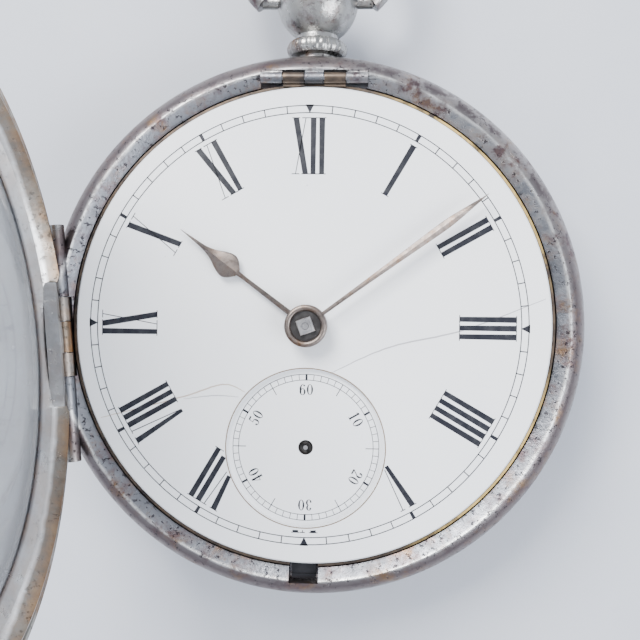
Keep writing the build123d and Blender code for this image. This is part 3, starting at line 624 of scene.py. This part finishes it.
# ------------------------------------------------------------------ hands
HOUR_ANGLE, MINUTE_ANGLE = 306.6, 53.4      # clock angles, about nine minutes past ten
HAND_EDGE = 0.1


def faceted_hand(name, clock_angle, stations, low, ridge, material):
    """A hand with a bevelled top: stations are (distance from the centre, half width, share of the ridge)."""
    angle = math.radians(90 - clock_angle)
    edge = low + HAND_EDGE
    vertices = []
    for reach, half, share in stations:
        section = [
            (half, low), (half * 0.9, edge), (0, edge + share * ridge), (-half * 0.9, edge), (-half, low)]
        for side, height in section:
            x, y = turned(reach, side, angle)
            vertices.append(on_dial(x, y, height))
    rows = len(section)
    faces = skin(len(stations), rows, ring=False)
    faces.append(tuple(range(rows)))
    faces.append(tuple(reversed(range((len(stations) - 1) * rows, len(stations) * rows))))
    return make_object(name, vertices, faces, material)


HAND_TIP = 0.015        # half the width of the blunt tip


def smooth_stations(points):
    """Rounds an outline of (reach, half width), and gives each place its share of the ridge's height."""
    result = [(reach, max(half, HAND_TIP), 1.0) for reach, half in curve_through(points, 5)]
    result.append((points[-1][0], HAND_TIP, 0.1))
    return result


def square_collar(name, side, bore, low, high, angle, material):
    """A square plate with a round hole, on the hands' axis."""
    steps, bevel = 48, 0.06
    vertices = []
    for index in range(steps):
        t = 2 * math.pi * index / steps
        reach = side / 2 / max(abs(math.cos(t)), abs(math.sin(t)))
        section = [(bore, low), (reach, low), (reach, high - bevel), (reach - bevel, high), (bore, high)]
        for radius, height in section:
            x, y = turned(radius * math.cos(t), radius * math.sin(t), math.radians(angle))
            vertices.append(on_dial(x, y, height))
    return make_object(name, vertices, skin(steps, len(section)), material)


# ------------------------------------------------------------------ milled work
MILLED_RIBS, MILLED_BEVEL = 480, 0.1
COLLAR_RIBS = 26


def milled_edge(material):
    """The coin edge around the band: upright ribs in the shallow groove."""
    outer, inner = CASE_RADIUS - 0.005, CASE_RADIUS - MILLED_DEPTH
    middle = (inner + outer) / 2
    root = inner - 0.01
    count = 4 * MILLED_RIBS
    vertices = []
    for index in range(count):
        t = 2 * math.pi * index / count
        radius = (inner, middle, outer, middle)[index % 4]
        section = [
            (root, MILLED_LOW), (radius, MILLED_LOW + MILLED_BEVEL),
            (radius, MILLED_HIGH - MILLED_BEVEL), (root, MILLED_HIGH)]
        vertices += [(r * math.cos(t), r * math.sin(t), height) for r, height in section]
    return make_object("milled_edge", vertices, skin(count, len(section), closed=False), material)


def ribbed_collar(material):
    """Ribs along the swollen collar at the foot of the pendant's ball."""
    profile = [
        (27.3, 2.66), (27.5, 2.84), (27.72, 2.92), (27.95, 2.96), (28.18, 2.92), (28.4, 2.84), (28.6, 2.66)]
    count = 4 * COLLAR_RIBS
    vertices = []
    for index in range(count):
        t = 2 * math.pi * index / count
        lift = (0.0, 0.08, 0.13, 0.08)[index % 4]
        for y, radius in profile:
            r = radius + lift
            vertices.append((r * math.cos(t), y, STEM_HEIGHT + r * math.sin(t)))
    faces = skin(count, len(profile), closed=False, flipped=True)
    return make_object("ribbed_collar", vertices, faces, material, smooth=True)


# ------------------------------------------------------------------ build
place_camera()

silver = tarnished_silver("worn_silver", brown=0.55, pits=0.6)
band_silver = tarnished_silver("band_silver", brown=0.5, pits=0.7, rings=[
    (23.7, (0.03, 0.03, 0.035)), (23.95, (0.15, 0.16, 0.185)), (24.75, (0.24, 0.25, 0.28)),
    (25.0, (0.78, 0.78, 0.78)), (25.2, (0.20, 0.18, 0.19)), (25.7, (0.10, 0.075, 0.08)),
    (26.3, (0.18, 0.145, 0.14)), (26.8, (0.32, 0.32, 0.32))])
clean_silver = tarnished_silver("pendant_silver", (0.44, 0.44, 0.43), brown=0.35, pits=0.25, rough=0.22)
cover_silver = banded_silver("cover_silver", [
    (21.0, (0.44, 0.44, 0.45)), (24.6, (0.32, 0.31, 0.29)), (24.85, (0.06, 0.07, 0.05)),
    (25.1, (0.14, 0.13, 0.09)), (25.3, (0.50, 0.48, 0.43)), (25.7, (0.34, 0.30, 0.25))], rough=0.32)
bezel_silver = banded_silver("bezel_silver", [
    (21.3, (0.04, 0.04, 0.045)), (21.65, (0.20, 0.20, 0.21)), (21.9, (0.48, 0.49, 0.51)),
    (22.95, (0.56, 0.56, 0.56)), (23.12, (0.90, 0.90, 0.90)), (23.3, (0.28, 0.27, 0.25)),
    (23.9, (0.21, 0.17, 0.13)), (24.3, (0.24, 0.12, 0.055)), (24.8, (0.11, 0.09, 0.055))], rough=0.3)
brass = gilt_brass()
# Brass of the movement's edge, with painted highlights on two sides.
highlighted_brass_ring = ring_brass()
bright_steel = steel("bright_steel", (0.56, 0.55, 0.56), 0.3)
blue_steel = steel("blue_steel", (0.07, 0.08, 0.13), 0.3)
dark_steel = steel("dark_steel", (0.045, 0.045, 0.05), 0.35)
hands = hand_metal()
white = enamel("white_enamel", (0.93, 0.945, 0.97))
# Painted shade: the sunk seconds dial takes a slightly darker copy of the white enamel.
seconds_white_painted_shade = enamel("seconds_enamel_painted_shade", (0.915, 0.93, 0.955))
black = ink("black_print", (0.004, 0.005, 0.012))
brown_edge = ink("brown_edge", (0.16, 0.10, 0.05))
crack_grey = ink("crack_line", (0.42, 0.42, 0.45))
crack_brown = ink("crack_stain", (0.52, 0.44, 0.38))
glass = clear_glass()
red = ruby()
# Near-black painted shade, for the floor of the boss's recess and the seconds hole.
painted_shade = ink("painted_shade_recess", (0.012, 0.010, 0.010))

LOOKS = {
    "case_silver": silver, "steel": bright_steel, "blued_steel": blue_steel, "gilt_brass": brass,
    "hand_metal": hands, "enamel": white, "jewel": red, "crystal": glass,
}
SPECIAL = {
    "front_cover": cover_silver, "bezel_ring": bezel_silver, "case_band": band_silver,
    "pendant": clean_silver, "push_button": clean_silver, "bow": clean_silver,
    "seconds_dial": seconds_white_painted_shade, "brass_edge": highlighted_brass_ring, "movement_bolt": dark_steel,
}
slots = {entry["node"]: entry["material_slot"] for entry in frame["record"]["subparts"]}
for node, obj in frame["nodes"].items():
    obj.data.materials.clear()
    obj.data.materials.append(SPECIAL.get(node, LOOKS[slots[node]]))

# Hands
hour_outline = smooth_stations([
    (1.6, 0.26), (4.5, 0.24), (8.0, 0.22), (8.45, 0.42), (8.9, 0.9), (9.4, 1.2),
    (9.9, 1.2), (10.6, 0.95), (11.4, 0.55), (12.4, 0.26), (13.6, 0.15), (15.45, 0.02)])
minute_outline = smooth_stations([
    (1.6, 0.18), (6.0, 0.22), (11.0, 0.32), (15.0, 0.42), (17.0, 0.42), (19.0, 0.26), (21.45, 0.02)])
hour = faceted_hand(
    "hour_hand_blade", HOUR_ANGLE, hour_outline, low=11.98, ridge=0.2, material=hands)
minute = faceted_hand(
    "minute_hand_blade", MINUTE_ANGLE, minute_outline, low=12.63, ridge=0.14, material=hands)
centre = (MOVEMENT_SHIFT, 0)
hour_boss = lathe("hour_hand_boss", [
    (1.2, 11.76), (1.95, 11.78), (2.04, 11.9), (2.04, 12.2), (1.94, 12.33), (1.2, 12.34)],
    hands, 96, centre, closed=True)
minute_boss = lathe("minute_hand_boss", [
    (0.74, 12.61), (1.95, 12.62), (2.04, 12.72), (2.04, 13.3), (1.96, 13.44), (1.75, 13.49), (1.56, 13.44),
    (1.47, 13.3), (1.44, 13.12), (0.74, 13.1)], hands, 96, centre, closed=True)
# Painted shade: a near-black disc on the floor of the recess in the minute hand's boss.
boss_recess_painted_shade = lathe("boss_recess_painted_shade", [(0.6, 13.13), (1.435, 13.13)], painted_shade, 64, centre)
for piece in (hour, hour_boss):
    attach(piece, "hour")
for piece in (minute, minute_boss, boss_recess_painted_shade):
    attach(piece, "cannon")
square = square_collar(
    "boss_square", side=1.5, bore=0.34, low=13.14, high=13.46, angle=20, material=bright_steel)
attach(square, "cannon")
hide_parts("hour_hand")
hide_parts("minute_hand")

# Printing
prints = [print_hours(black), print_minutes(black), print_seconds(black)]
edge_line = Print(DIAL_TOP + PRINT_LIFT)
edge_line.ring((0, -SECONDS_OFFSET), SECONDS_EDGE, SECONDS_EDGE + 0.1, 240)
prints.append(edge_line.finish("seconds_edge_line", brown_edge))
hole = [(0.25, 10.05), (0.72, 10.05), (0.72, SECONDS_TOP)]
prints.append(lathe("seconds_hole_shade", hole, painted_shade, 48, (MOVEMENT_SHIFT, -SECONDS_OFFSET)))
cracks = [
    ("crack_right", [(2.4, -4.6), (8.0, -2.0), (15.2, -0.2), (23.0, 2.9)], 0.14, crack_grey),
    ("crack_left_upper", [(-20.3, -9.4), (-12.2, -7.2), (-8.2, -5.9), (-6.0, -6.6)], 0.14, crack_brown),
    ("crack_left_lower", [(-12.1, -7.4), (-9.0, -7.0), (-6.6, -7.1)], 0.09, crack_grey),
]
for name, points, width, tone in cracks:
    prints.append(crack(name, points, width, tone, DIAL_TOP + PRINT_LIFT * 0.6))
for piece in prints:
    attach(piece, "movement")

# Milled work on the case
for piece in (milled_edge(silver), ribbed_collar(clean_silver)):
    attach(piece, "case")

# Floor and light
FLOOR_SIZE, FLOOR_DROP = 3000, 0.02
bpy.ops.mesh.primitive_plane_add(size=FLOOR_SIZE * MM, location=(0, 0, -FLOOR_DROP * MM))
floor = bpy.context.object
floor.name = "floor"
floor.data.materials.append(pale_floor())

world = bpy.data.worlds.new("world")
world.use_nodes = True
sky = world.node_tree.nodes["Background"].inputs
sky["Color"].default_value = (0.88, 0.92, 1.0, 1)
sky["Strength"].default_value = 1.05
bpy.context.scene.world = world
area_light("key", place=(-160, 260, 330), target=(0, 0, 0), size=(220, 220),
           energy=4.1, colour=(1.0, 0.99, 0.97))
area_light("fill", place=(260, -120, 260), target=(0, 0, 5), size=(260, 200),
           energy=1.5, colour=(0.93, 0.96, 1.0))
